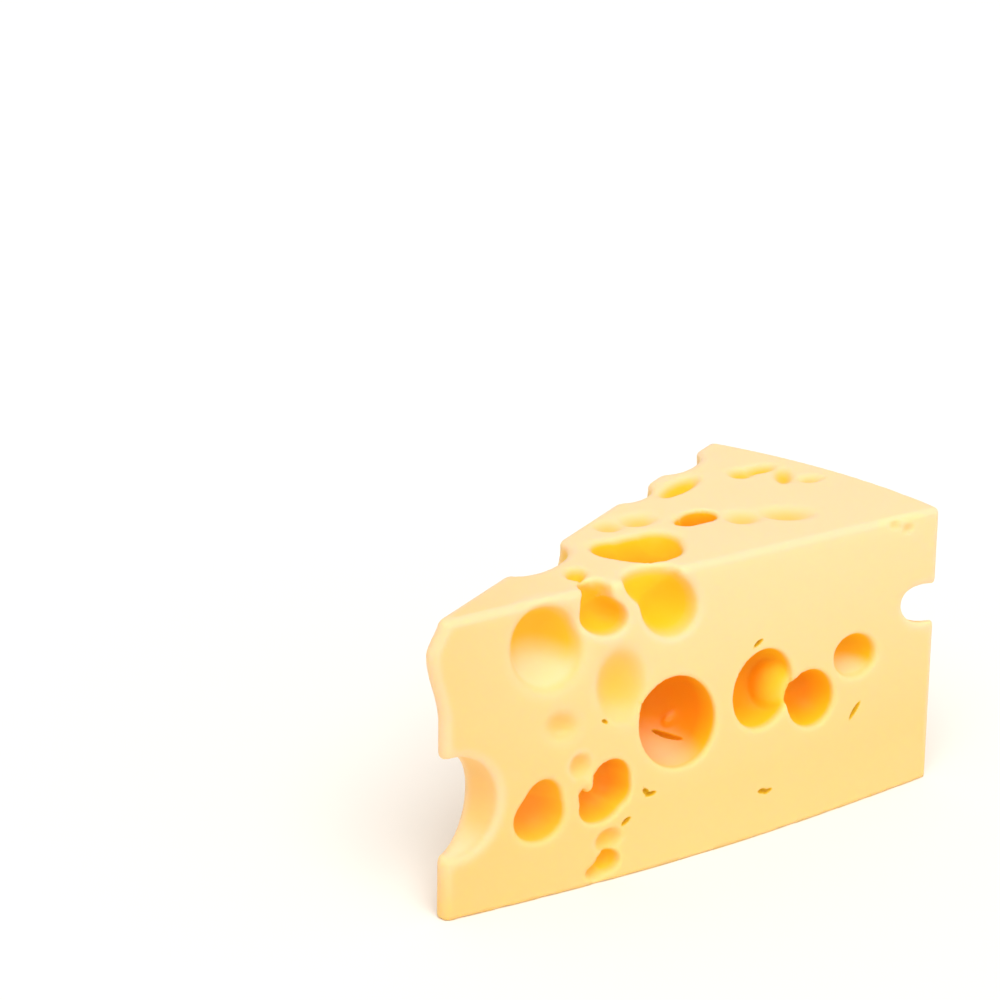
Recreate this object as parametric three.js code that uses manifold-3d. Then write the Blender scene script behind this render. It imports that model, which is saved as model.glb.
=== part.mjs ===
// A wedge cut from a wheel of large-eyed cheese. Millimetres, +Z up.
// The wheel's axis stands at the sharp end. The long front face runs along +X, the back face turns away from it
// by the wedge angle, and the curved side joins the two. The paste is one piece with no rind. The gas holes, or
// eyes, are cut through by all the faces, and each eye is placed from the face and the edges that it opens on.
import * as THREE from "three";
import { mergeVertices } from "three/addons/utils/BufferGeometryUtils.js";
import Module from "manifold-3d";

// Driving dimensions
const wheelRadius = 180;
const wedgeAngle = THREE.MathUtils.degToRad(28);
const height = 88;
const edgeRounding = 1.5;
const tipRounding = 2.4;
const rimCornerRounding = 2.2;
const frontSag = 5; // the lower front face swells out by this much at mid length
const rimFoot = 2; // the curved side stands out by this much more at the base than at the top
const tipLean = 4; // the upper tip leans out over the lower one
const tipLeanStart = 30; // distance below the top at which the tip starts to lean
const tipLeanFull = 10; // and at which it leans most, before it rounds off towards the top
const tipLeanReach = 45; // the lean dies out this far from the tip
const eyeScale = 1; // all eyes grow or shrink together
const pasteColour = "#fddb93";

// Mesh fineness
const faceColumns = 12;
const rimColumns = 20;
const cornerColumns = 3;
const heightRows = 7;
const bevelRows = 2;
const fineEye = 11; // an eye wider than this radius gets a finer ball
const ballDetail = { fine: 3, plain: 2 };

const wasm = await Module();
wasm.setup();

const alongFront = new THREE.Vector3(1, 0, 0);
const alongBack = new THREE.Vector3(Math.cos(wedgeAngle), Math.sin(wedgeAngle), 0);
const acrossFront = new THREE.Vector3(0, 1, 0);
const upward = new THREE.Vector3(0, 0, 1);
const downward = new THREE.Vector3(0, 0, -1);
const fromRim = (distance) => wheelRadius - distance;
const fromTop = (distance) => height - distance;

// A closed geometry as a manifold-3d solid.
function solidOf(geometry) {
  const bare = geometry.clone();
  bare.deleteAttribute("normal");
  bare.deleteAttribute("uv");
  const merged = mergeVertices(bare, 1e-4);
  return new wasm.Manifold(
    new wasm.Mesh({
      numProp: 3,
      vertProperties: merged.attributes.position.array,
      triVerts: new Uint32Array(merged.index.array),
    }),
  );
}

function geometryOf(solid) {
  const mesh = solid.getMesh();
  const geometry = new THREE.BufferGeometry();
  geometry.setAttribute("position", new THREE.BufferAttribute(mesh.vertProperties, mesh.numProp));
  geometry.setIndex(new THREE.BufferAttribute(mesh.triVerts, 1));
  geometry.computeVertexNormals();
  return geometry;
}

// Points of an arc, both ends included.
function arc(centreX, centreY, radius, from, to, columns) {
  return Array.from({ length: columns + 1 }, (_, i) => {
    const angle = from + ((to - from) * i) / columns;
    return new THREE.Vector2(centreX + radius * Math.cos(angle), centreY + radius * Math.sin(angle));
  });
}

// Points between two corners, the corners left out.
function between(start, end, columns) {
  return Array.from({ length: columns - 1 }, (_, i) => start.clone().lerp(end, (i + 1) / columns));
}

// The outline of the flat base and top: the wedge's plan, drawn in from its sides by the edge rounding.
function capOutline() {
  const quarter = Math.PI / 2;
  const tipX = tipRounding / Math.tan(wedgeAngle / 2);
  const cornerReach = wheelRadius - rimCornerRounding;
  const cornerTurn = Math.asin(rimCornerRounding / cornerReach);
  const cornerAt = (angle) => [cornerReach * Math.cos(angle), cornerReach * Math.sin(angle)];
  const cornerArc = rimCornerRounding - edgeRounding;
  const frontCorner = arc(...cornerAt(cornerTurn), cornerArc, -quarter, cornerTurn, cornerColumns);
  const rim = arc(0, 0, wheelRadius - edgeRounding, cornerTurn, wedgeAngle - cornerTurn, rimColumns);
  const farTurn = wedgeAngle - cornerTurn;
  const backCorner = arc(...cornerAt(farTurn), cornerArc, farTurn, wedgeAngle + quarter, cornerColumns);
  const tipArc = tipRounding - edgeRounding;
  const tip = arc(tipX, tipRounding, tipArc, wedgeAngle + quarter, 3 * quarter, cornerColumns);
  const front = between(tip.at(-1), frontCorner[0], faceColumns);
  const back = between(backCorner.at(-1), tip[0], faceColumns);
  return [...front, ...frontCorner, ...rim.slice(1, -1), ...backCorner, ...back, ...tip];
}

// How the soft paste has settled: the lower front face swells, the foot of the curved side spreads, and the
// upper tip leans out.
function settle(point) {
  const turn = Math.atan2(point.y, point.x) / wedgeAngle;
  const along = Math.min(Math.max(point.x / wheelRadius, 0), 1);
  const low = 1 - point.z / height;
  const swell = frontSag * Math.sin(Math.PI * along) * low * (1 - Math.min(Math.max(turn, 0), 1));
  const spread = rimFoot * along ** 4 * low;
  const leaning = THREE.MathUtils.smoothstep(point.z, fromTop(tipLeanStart), fromTop(tipLeanFull));
  const roundingOff = THREE.MathUtils.smoothstep(point.z, fromTop(tipLeanFull), height);
  const nearTip = 1 - THREE.MathUtils.smoothstep(point.x, 0, tipLeanReach);
  const lean = tipLean * (leaning - roundingOff) * nearTip;
  point.y -= swell;
  point.x += spread - lean;
  return point;
}

function wedgeBody() {
  const geometry = new THREE.ExtrudeGeometry(new THREE.Shape(capOutline()), {
    depth: height - 2 * edgeRounding,
    steps: heightRows,
    bevelThickness: edgeRounding,
    bevelSize: edgeRounding,
    bevelSegments: bevelRows,
  });
  geometry.translate(0, 0, edgeRounding);
  const position = geometry.attributes.position;
  const point = new THREE.Vector3();
  for (let i = 0; i < position.count; i += 1) {
    settle(point.fromBufferAttribute(position, i));
    position.setXYZ(i, point.x, point.y, point.z);
  }
  return solidOf(geometry);
}

// The faces: where a place on each is measured from, and which way is into the paste.
const faces = {
  front: () => ({ origin: new THREE.Vector3(), along: alongFront, up: upward, inward: acrossFront }),
  back: () => ({
    origin: new THREE.Vector3(),
    along: alongBack,
    up: upward,
    inward: new THREE.Vector3(Math.sin(wedgeAngle), -Math.cos(wedgeAngle), 0),
  }),
  top: () => ({
    origin: new THREE.Vector3(0, 0, height),
    along: alongFront,
    up: acrossFront,
    inward: downward,
  }),
  base: () => ({ origin: new THREE.Vector3(), along: alongFront, up: acrossFront, inward: upward }),
  // On the curved side the place along is the share of the way from the front face to the back face.
  side: (share) => {
    const turn = wedgeAngle * share;
    const outward = new THREE.Vector3(Math.cos(turn), Math.sin(turn), 0);
    return {
      origin: outward.clone().multiplyScalar(wheelRadius),
      along: new THREE.Vector3(),
      up: upward,
      inward: outward.negate(),
      across: new THREE.Vector3(-Math.sin(turn), Math.cos(turn), 0),
    };
  },
};

// One eye: an ellipsoid at a place on its face. at is [along, up], sunk is how far its middle lies inside the
// face, and radii are [along, up, inward]. turn rolls it in the face, swing aims it along the face as it goes in,
// and dip aims it down.
function eye({ face, at, sunk, radii, turn = 0, swing = 0, dip = 0 }) {
  const frame = faces[face](at[0]);
  const across = frame.across ?? frame.along;
  const place = frame.origin.clone().addScaledVector(frame.along, at[0]).addScaledVector(frame.up, at[1]);
  const centre = settle(place).addScaledVector(frame.inward, sunk);
  const detail = Math.max(...radii) > fineEye ? ballDetail.fine : ballDetail.plain;
  const ball = new THREE.IcosahedronGeometry(eyeScale, detail);
  ball.scale(...radii);
  ball.applyMatrix4(new THREE.Matrix4().makeRotationX(THREE.MathUtils.degToRad(-dip)));
  ball.applyMatrix4(new THREE.Matrix4().makeRotationY(THREE.MathUtils.degToRad(-swing)));
  ball.applyMatrix4(new THREE.Matrix4().makeRotationZ(THREE.MathUtils.degToRad(turn)));
  const normal = new THREE.Vector3().crossVectors(across, frame.up);
  ball.applyMatrix4(new THREE.Matrix4().makeBasis(across, frame.up, normal));
  ball.translate(centre.x, centre.y, centre.z);
  return solidOf(ball);
}

const frontEyes = [
  { at: [39.5, fromTop(15)], sunk: -3, radii: [14.5, 12.3, 11], turn: -60 }, // bowl near the tip
  { at: [57.5, fromTop(8.5)], sunk: 0, radii: [9.2, 5.5, 8], turn: -32 }, // opens upwards through its slot
  { at: [57.5, fromTop(1.5)], sunk: 1, radii: [2.8, 6, 5.5] }, // the slot
  { at: [77.5, fromTop(8)], sunk: 0, radii: [15.8, 9.3, 8], turn: -43 }, // teardrop under the top edge
  { at: [63.5, fromTop(30.5)], sunk: -4.5, radii: [10, 13.6, 8.5] }, // shallow oval
  { at: [44, fromTop(38.5)], sunk: -2.5, radii: [6.5, 4.6, 4.5], turn: -26 },
  { at: [83, fromTop(46.5)], sunk: 3, radii: [15.3, 13.4, 16], turn: -56 }, // the great eye
  { at: [fromRim(68), fromTop(43)], sunk: 1, radii: [9.5, 11.5, 12] }, // deep crescent of the double eye
  { at: [fromRim(62), fromTop(44.5)], sunk: 0, radii: [7.5, 12, 6.5] }, // its shallow half
  { at: [fromRim(47.5), fromTop(50)], sunk: 0, radii: [9.4, 8.2, 11], turn: -48 },
  { at: [fromRim(30.5), fromTop(40.5)], sunk: 0, radii: [9.2, 6.7, 8], turn: -16 },
  { at: [36, 25.5], sunk: 0, radii: [10.2, 8.1, 8.5], turn: -65 }, // egg-shaped eye
  { at: [60, 28], sunk: 0, radii: [6.4, 6.8, 9] }, // kidney, upper lobe
  { at: [55, 22.5], sunk: 0, radii: [5.8, 5.4, 8] }, // kidney, lower lobe
  { at: [49.5, 35], sunk: -2.5, radii: [4.9, 5.4, 4] },
  { at: [58.5, 11.5], sunk: -3.5, radii: [6.5, 5, 5] },
  { at: [56.5, 5], sunk: -2, radii: [6, 4, 4.5] },
  { at: [10.5, 33], sunk: 0, radii: [14, 15.2, 14.5] }, // bitten out of the sharp edge
  { at: [fromRim(3.5), fromTop(32)], sunk: 7, radii: [6.2, 5.8, 22], swing: 34, dip: 19 }, // notch
  { at: [fromRim(-1), fromTop(32)], sunk: 7, radii: [6.2, 5.8, 22], swing: 34, dip: 19 }, // its mouth
].map((row) => ({ face: "front", ...row }));

const topEyes = [
  { at: [84, 19], sunk: -3, radii: [14.5, 12.3, 11] }, // wide bowl behind the front edge
  { at: [112.5, 31], sunk: 2, radii: [8, 5.6, 8], turn: 23 }, // deep eye
  { at: [56, 12], sunk: -1, radii: [5.4, 3.5, 3.5], turn: 52 },
  { at: [fromRim(30), 48.5], sunk: -8, radii: [20, 14, 10.5], turn: 48 }, // shallow arch near the rim
  { at: [123, 54], sunk: -2, radii: [13.5, 4, 4], turn: 28 }, // long dip beside the back face
  { at: [92.5, 39], sunk: -5, radii: [14, 9.5, 6.5], turn: 19 },
  { at: [fromRim(55), 25], sunk: -5, radii: [9, 8, 6.2] },
  { at: [fromRim(44), 19], sunk: -5, radii: [9, 8, 6.2] },
].map((row) => ({ face: "top", ...row }));

const backEyes = [
  { at: [61, fromTop(3)], sunk: 0, radii: [15, 11, 8] }, // three eyes break the top edge
  { at: [124, fromTop(2)], sunk: 0, radii: [9, 8, 4.5] },
  { at: [fromRim(24), fromTop(4)], sunk: 0, radii: [12, 9, 5] },
  { at: [96, fromTop(36)], sunk: 1, radii: [13, 12, 13] },
  { at: [69, 26], sunk: 0, radii: [9, 8.5, 9] },
  { at: [132, 31], sunk: 0, radii: [13, 11.5, 12] },
  { at: [fromRim(31), fromTop(27)], sunk: -1, radii: [9, 8, 9] },
  { at: [43, fromTop(41)], sunk: -3, radii: [7, 8, 7] },
  { at: [103, 14], sunk: -1, radii: [6.5, 6, 7] },
  { at: [fromRim(16), 17], sunk: 0, radii: [6, 7, 6] },
].map((row) => ({ face: "back", ...row }));

const sideEyes = [
  { at: [0.42, fromTop(20)], sunk: -1, radii: [9, 8, 8] },
  { at: [0.63, 39], sunk: 1, radii: [13, 12, 13] },
  { at: [0.84, fromTop(21)], sunk: -2, radii: [8, 9, 7] },
  { at: [0.24, 22], sunk: 0, radii: [8.5, 8, 8] },
  { at: [0.5, 13], sunk: -1, radii: [5, 4.5, 5] },
  { at: [0.82, 17], sunk: -2, radii: [7, 6, 6.5] },
].map((row) => ({ face: "side", ...row }));

const baseEyes = [
  { at: [79, 19], sunk: -1, radii: [7, 6, 6] },
  { at: [fromRim(45), 54], sunk: -2, radii: [8, 7, 7] },
  { at: [fromRim(30), 20], sunk: -1, radii: [6, 6.5, 6] },
].map((row) => ({ face: "base", ...row }));

// The origin is under the middle of the wedge's box, on the base.
function cheeseWedge() {
  const eyes = [...frontEyes, ...topEyes, ...backEyes, ...sideEyes, ...baseEyes];
  const cut = eyes.reduce((paste, row) => paste.subtract(eye(row)), wedgeBody());
  const geometry = geometryOf(cut);
  geometry.computeBoundingBox();
  const middle = geometry.boundingBox.getCenter(new THREE.Vector3());
  const paste = new THREE.MeshStandardMaterial({ color: pasteColour, roughness: 0.5, metalness: 0 });
  const mesh = new THREE.Mesh(geometry, paste);
  mesh.name = "cheese_wedge";
  mesh.position.set(-middle.x, -middle.y, 0);
  return mesh;
}

const group = new THREE.Group();
group.add(cheeseWedge());
export default group;
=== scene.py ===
import math

import bmesh
import bpy
from mathutils import Matrix, Vector


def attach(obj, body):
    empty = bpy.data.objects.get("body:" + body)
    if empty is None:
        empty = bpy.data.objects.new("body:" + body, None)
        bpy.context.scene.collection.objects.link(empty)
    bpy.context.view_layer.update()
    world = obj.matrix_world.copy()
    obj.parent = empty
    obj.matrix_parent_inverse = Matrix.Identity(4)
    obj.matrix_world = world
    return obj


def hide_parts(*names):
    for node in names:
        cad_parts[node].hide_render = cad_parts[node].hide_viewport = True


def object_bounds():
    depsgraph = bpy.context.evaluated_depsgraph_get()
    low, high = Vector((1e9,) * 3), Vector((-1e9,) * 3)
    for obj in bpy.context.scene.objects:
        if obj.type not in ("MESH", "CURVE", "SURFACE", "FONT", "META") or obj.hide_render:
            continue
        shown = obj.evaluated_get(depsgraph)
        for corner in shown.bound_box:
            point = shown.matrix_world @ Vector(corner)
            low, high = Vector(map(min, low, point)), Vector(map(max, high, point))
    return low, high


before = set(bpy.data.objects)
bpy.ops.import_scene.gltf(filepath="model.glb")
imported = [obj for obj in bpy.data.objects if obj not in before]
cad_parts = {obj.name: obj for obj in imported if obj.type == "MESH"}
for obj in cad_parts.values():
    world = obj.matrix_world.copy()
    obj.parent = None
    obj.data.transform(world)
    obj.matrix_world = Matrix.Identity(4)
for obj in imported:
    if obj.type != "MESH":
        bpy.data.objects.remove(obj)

bl_info = {
    "name": "Cheese wedge",
    "version": (1, 0, 0),
    "blender": (4, 5, 0),
    "location": "3D View > Sidebar > Cheese wedge",
    "description": "Makes a wedge of large-eyed cheese and the stage that it is shown on",
    "category": "Object",
}

CAD_BOX = [list(corner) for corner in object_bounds()]
MM = 0.001
PIECE_NAME = "cheese_paste_wedge"
SKIN_DENSITY = 8.0  # how dense the paste counts at its surface
DRAWING_STEP = 0.2  # mm between readings while points are drawn onto the surface
RIM_STEP = 2.6  # mm between readings while rims are looked for
SLIT_MARGIN = 1.2  # mm of finer mesh round a slit
LEAST_STEEPNESS = 0.2  # keeps a drawing move short where the slope is slight
NOT_ZERO = 1e-6  # keeps a division by a slope from failing
WHEEL_AXIS = (-92.834, -39.435)  # mm, where the wheel's axis stands in the frame

# How the colours spread, painted shade, painted light and painted highlights among them. Depths are in
# metres below the uncut faces, and edges say where a colour begins to fade and where it has gone.
EYE_EDGE = (1.03, 1.16)  # in shares of the eye's radii
SLIT_EDGE = (1.0, 1.35)  # in shares of the slit's radii
CALM_EDGE = (0.0025, 0.0045)  # m from a deep eye's wall: no painted rim highlight is drawn closer
BUMP_DEPTH = (-0.001, -0.006)  # where small bumps begin and are full
SKIN_DEPTH = (-0.0003, -0.003)  # where a place begins to count as inside an eye, and does fully
PAINTED_SHADE_DEPTH = (-0.0002, -0.009)  # where an eye's painted shade begins and is deepest
PAINTED_LIGHT_SIDE = (0.05, -0.25, 0.97)  # the way that a lower wall faces where the painted light is palest
PAINTED_LIGHT_SPREAD = 0.75  # how much an eye's share of painted light widens its painted pale wall
PAINTED_LIGHT_EDGE = (1.0, 1.7)  # where the painted light on a wall begins and is palest
# How strongly the painted light pales a lower eye wall.
PAINTED_LIGHT_STRENGTH = 0.75
RIM_HIGHLIGHT_BEND = (40.0, 380.0)  # 1/m, the bend at which a painted rim highlight begins and is palest
# How strongly the painted rim highlight pales an edge.
RIM_HIGHLIGHT_STRENGTH = 0.68
# Painted sheen that pales the top face.
TOP_SHEEN = 0.06
# Painted shade that deepens the top face.
TOP_SHADE = 0.25
BUMP_STRENGTH = 0.25
BUMP_HEIGHT = 0.0002  # m
# Fat makes paste bend light a little more than water does. Red goes furthest into it, and blue least.
PASTE_SHADER = {"IOR": 1.45, "Specular IOR Level": 0.1, "Subsurface Weight": 0.7,
                "Subsurface Radius": (1.0, 0.8, 0.25), "Subsurface Scale": 5.0 * MM}

MATH = "ShaderNodeMath"
VECTOR = "ShaderNodeVectorMath"
XYZ = "ShaderNodeCombineXYZ"
SPLIT = "ShaderNodeSeparateXYZ"
RANGE = "ShaderNodeMapRange"
NOISE = "ShaderNodeTexNoise"
GROUP = "GeometryNodeGroup"
OUTPUT = "NodeGroupOutput"
SMOOTH = {"interpolation_type": "SMOOTHSTEP"}


# The eyes, in millimetres and degrees. at is measured on the eye's face, along it and up it, from the
# wheel's axis and the base. sunk is how far the middle lies inside the face. radii run along, up and inward.
# turn is about the way in, and swing and dip aim the eye sideways and downwards. soft is how wide its rim
# rounds over, stain is how far painted shade turns its wall orange, and bloom is how far painted light makes
# its lower wall pale. A lump is paste that is left standing in the eyes listed before it.
RADIUS = 180.0
HEIGHT = 88.0
WEDGE_ANGLE = math.radians(28.0)


def from_rim(distance):
    return RADIUS - distance


def from_top(distance):
    return HEIGHT - distance


FRONT_EYES = [
    # bowl near the tip
    dict(at=(40, from_top(14.2)), sunk=-2.5, radii=(13.2, 11.2, 11), turn=-60, soft=5, stain=0.42,
         bloom=1.25),
    # opens upwards through its slot
    dict(at=(58.9, 78.6), sunk=0.5, radii=(8, 5.4, 8), turn=-20, soft=2, stain=0.45),
    dict(at=(56.2, 83.2), sunk=0.8, radii=(4.9, 6.4, 8), turn=8, soft=3.5, stain=0.45),
    dict(at=(58.8, from_top(1)), sunk=1, radii=(2.4, 5.5, 5.5), soft=2, stain=0.6),
    # teardrop under the top edge, of two lobes
    dict(at=(75, 86.8), sunk=-0.5, radii=(10.4, 8.2, 8.5), turn=-30, soft=2.5, stain=0.5, bloom=0.2),
    dict(at=(80.8, 77.6), sunk=-0.5, radii=(10.6, 8.8, 8), turn=-42, soft=3, stain=0.42, bloom=0.3),
    # shallow oval
    dict(at=(64.2, from_top(29.8)), sunk=-3.5, radii=(9, 12, 8), turn=8, soft=4, stain=0.3, bloom=0.7),
    dict(at=(44.6, from_top(38)), sunk=-2.2, radii=(5.6, 4.2, 4.6), turn=-20, soft=4, stain=0.3, bloom=0.8),
    # the great eye
    dict(at=(83.6, from_top(45.8)), sunk=3, radii=(14.5, 12.8, 15.5), turn=-56, soft=2.2, stain=1.0,
         bloom=0.65),
    dict(at=(92.4, 36.9), sunk=15, radii=(3.4, 1.5, 1.3), turn=30, soft=2, lump=1),
    # double eye, with a round bulge of paste in its far half
    dict(at=(from_rim(66), from_top(42.6)), sunk=0.5, radii=(10.8, 12, 11.5), turn=-16, soft=2, stain=0.75,
         bloom=0.15),
    dict(at=(127, 41.6), sunk=10, radii=(10, 12.4, 9.2), turn=-14, soft=1.2, lump=1),
    dict(at=(131.9, 38.3), sunk=0, radii=(9.5, 8.5, 10.5), turn=-48, soft=1.4, stain=0.95, bloom=0),
    dict(at=(148.8, 47.8), sunk=0, radii=(8.3, 6.6, 8), turn=-16, soft=2.5, stain=0.7, bloom=0.8),
    # egg, round below and narrow above
    dict(at=(37.2, 24.4), sunk=0, radii=(8, 7.3, 9), soft=2, stain=1.1, bloom=0),
    dict(at=(38.6, 28.2), sunk=-0.3, radii=(6, 7, 8), turn=-12, soft=3, stain=0.9, bloom=0),
    # kidney, with a tooth of paste between its lobes
    dict(at=(60.7, 29.8), sunk=0, radii=(6.6, 6.8, 9), turn=-8, soft=0.7, stain=1.1, bloom=0),
    dict(at=(61.2, 26.6), sunk=0.5, radii=(6.2, 5.6, 9), turn=10, soft=1.2, stain=1.1, bloom=0),
    dict(at=(57.4, 24), sunk=0, radii=(7.4, 5.8, 8.5), turn=14, soft=0.7, stain=1.0, bloom=0.1),
    dict(at=(52.5, 27), sunk=0, radii=(2.6, 3.2, 5), turn=12, soft=0.8, stain=0.9, bloom=0),
    dict(at=(53, 31.8), sunk=2.5, radii=(2.2, 4.3, 3), turn=16, soft=0.5, lump=1),
    dict(at=(50.6, 37), sunk=-1.2, radii=(3.6, 3.6, 3.6), turn=25, soft=2.5, stain=0.35, bloom=0.4),
    # two small caves near the base
    dict(at=(59.6, 12.6), sunk=-1.4, radii=(4.8, 3.6, 4.2), turn=15, soft=1.4, stain=0.5, bloom=0.4),
    dict(at=(59.4, 6), sunk=-0.3, radii=(4.1, 3.5, 4.8), soft=1.2, stain=0.75, bloom=0.1),
    dict(at=(56, 4), sunk=-1, radii=(4.4, 2.4, 4), turn=15, soft=1.6, stain=0.6, bloom=0.2),
    # bitten out of the sharp edge
    dict(at=(10.5, 33), sunk=0, radii=(13.6, 14.8, 14.5), soft=4, stain=0.05, bloom=0.8),
    # notch through the rim
    dict(at=(from_rim(3.2), from_top(32)), sunk=7, radii=(6, 5.6, 22), swing=34, dip=19, soft=3, stain=0.3,
         bloom=0.6),
    dict(at=(from_rim(-1), from_top(32)), sunk=7, radii=(6, 5.6, 22), swing=34, dip=19, soft=3, stain=0.3,
         bloom=0.6),
    # two faint pits beside the top edge
    dict(at=(162.2, 86), sunk=-1.4, radii=(3.2, 1.9, 2.4), soft=1.2, stain=0.8),
    dict(at=(167.2, 83.9), sunk=-1.4, radii=(2.7, 1.8, 2.4), soft=1.2, stain=0.8),
]

TOP_EYES = [
    # wide bowl behind the front edge, pointed at both ends
    dict(at=(85, 18.2), sunk=-2, radii=(12, 10.6, 9.8), turn=8, soft=2, stain=1.1, bloom=0),
    dict(at=(91.8, 21.8), sunk=-1.6, radii=(7.4, 7, 6.8), turn=40, soft=3, stain=1.0, bloom=0),
    dict(at=(78, 21.4), sunk=-1.4, radii=(7, 8.2, 7.4), turn=25, soft=3, stain=1.3, bloom=0),
    # slot, pointed at its near end
    dict(at=(113.8, 31), sunk=1, radii=(6.2, 4.8, 7.5), turn=20, soft=1.2, stain=1.8, bloom=0),
    dict(at=(109.6, 30.6), sunk=0.8, radii=(5, 3.4, 6.5), turn=24, soft=3, stain=1.7, bloom=0),
    dict(at=(57, 12), sunk=-1, radii=(5, 3.2, 3.8), turn=52, soft=1.6, stain=1.0, bloom=0),
    # shallow arch near the rim
    dict(at=(from_rim(32), 55.4), sunk=-3, radii=(5.8, 5, 5), turn=36, soft=2, stain=1.1),
    dict(at=(from_rim(24.4), 55.6), sunk=-2.6, radii=(8, 3.8, 4.6), turn=4, soft=2, stain=1.1),
    dict(at=(from_rim(22), 47), sunk=-2.6, radii=(3.6, 9, 4.6), turn=-38, soft=2, stain=1.1),
    dict(at=(124.6, 55.2), sunk=-2, radii=(13, 4, 4.8), turn=25, soft=2, stain=1.0),
    dict(at=(86.6, 38.4), sunk=-4, radii=(6.4, 6, 6), turn=8, soft=2.5, stain=0.6),
    dict(at=(97, 38.2), sunk=-4, radii=(8, 6.2, 6.2), turn=8, soft=2.5, stain=0.6),
    dict(at=(124.5, 24.4), sunk=-4.4, radii=(7.6, 7, 6.6), soft=2.5, stain=0.5),
    dict(at=(137.6, 20.4), sunk=-4.4, radii=(11, 7.4, 6.6), turn=-32, soft=2.5, stain=0.5),
    dict(at=(163.2, 40.6), sunk=-2.4, radii=(5, 3.6, 4.2), soft=2, stain=0.6),
]

BACK_EYES = [
    dict(at=(61, from_top(3)), sunk=0, radii=(15, 11, 8), soft=4, stain=0.4),
    dict(at=(124, from_top(2)), sunk=0, radii=(9, 8, 4.5), soft=4, stain=0.35),
    dict(at=(from_rim(24), from_top(4)), sunk=0, radii=(12, 9, 5), soft=4, stain=0.35),
    dict(at=(96, from_top(36)), sunk=1, radii=(13, 12, 13), soft=2.5, stain=0.85, bloom=0.6),
    dict(at=(69, 26), sunk=0, radii=(9, 8.5, 9), soft=2, stain=0.75, bloom=0.2),
    dict(at=(132, 31), sunk=0, radii=(13, 11.5, 12), soft=2.5, stain=0.85, bloom=0.6),
    dict(at=(from_rim(31), from_top(27)), sunk=-1, radii=(9, 8, 9), soft=2.5, stain=0.6, bloom=0.6),
    dict(at=(43, from_top(41)), sunk=-3, radii=(7, 8, 7), soft=4, stain=0.35, bloom=0.7),
    dict(at=(103, 14), sunk=-1, radii=(6.5, 6, 7), soft=2, stain=0.6),
    dict(at=(from_rim(16), 17), sunk=0, radii=(6, 7, 6), soft=2, stain=0.65),
]

# On the curved side, along is the share of the way from the front face to the back face.
SIDE_EYES = [
    dict(at=(0.42, from_top(20)), sunk=-1, radii=(9, 8, 8), soft=2.5, stain=0.6, bloom=0.6),
    dict(at=(0.63, 39), sunk=1, radii=(13, 12, 13), soft=2.5, stain=0.85, bloom=0.6),
    dict(at=(0.84, from_top(21)), sunk=-2, radii=(8, 9, 7), soft=4, stain=0.4, bloom=0.7),
    dict(at=(0.24, 22), sunk=0, radii=(8.5, 8, 8), soft=2, stain=0.75),
    dict(at=(0.5, 13), sunk=-1, radii=(5, 4.5, 5), soft=2, stain=0.6),
    dict(at=(0.82, 17), sunk=-2, radii=(7, 6, 6.5), soft=3, stain=0.4, bloom=0.6),
]

BASE_EYES = [
    dict(at=(79, 19), sunk=-1, radii=(7, 6, 6), soft=2, stain=0.5),
    dict(at=(from_rim(45), 54), sunk=-2, radii=(8, 7, 7), soft=2.5, stain=0.45),
    dict(at=(from_rim(30), 20), sunk=-1, radii=(6, 6.5, 6), soft=2, stain=0.5),
]

# Thin slits: (along, up), (half length, half width), turn in degrees.
FRONT_SLITS = [
    ((72.3, 24.0), (1.5, 0.75), -50), ((73.8, 23.1), (1.7, 0.6), 8), ((65.4, 16.8), (1.6, 0.65), 32),
    ((114, 13.8), (1.7, 0.7), -12), ((115.8, 13.4), (1.5, 0.55), 14), ((148.9, 30.4), (2.8, 0.75), 50),
    ((111.8, 60.1), (1.6, 0.6), 28), ((58.5, 48.3), (1.1, 0.5), -30),
]
BACK_SLITS = [((83, 72), (2.6, 0.7), 8), ((112, 52), (2, 0.7), -35), ((148, 46), (3, 0.8), 52),
              ((50, 13), (2.2, 0.7), 15)]
SIDE_SLITS = [((0.2, 74), (2.2, 0.7), 12), ((0.64, 80), (2.5, 0.7), -20)]
# Slits get painted shade as well as their shallow dip.
SLIT_DEPTH = 1.2
SLIT_SOFTNESS = 0.35
SLIT_LOOKS = (0.6, 0.0, 1.0, 1.0, 0.0)  # stain (painted shade), bloom (painted light), calm, slit and lump
WALL_SLIT_LOOKS = (1.0, 0.0, 1.0, 0.4, 0.0)
# The slit low in the great eye's back wall: its middle from the wheel's axis, which way it runs, which way
# it goes in, and its half length, half width and depth.
WALL_SLIT = {"middle": (88.9, 9.8, 32.4), "along": (0.64, -0.76, -0.1), "inward": (0.39, 0.52, -0.76),
             "radii": (4.6, 0.8, 2.2)}

# The stage, in metres and degrees. A light's side is the way from the object to it.
FLOOR_HALF = 5.0
KEY_SIDE = (-0.25, -0.5, 0.83)
FILL_SIDE = (0.2, -0.95, 0.25)
CAMERA_TURN = (-33.43, 19.738, 0.854)  # azimuth, elevation and roll
CAMERA_PLACE = (-0.4342, -0.5927, 0.357)


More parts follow.
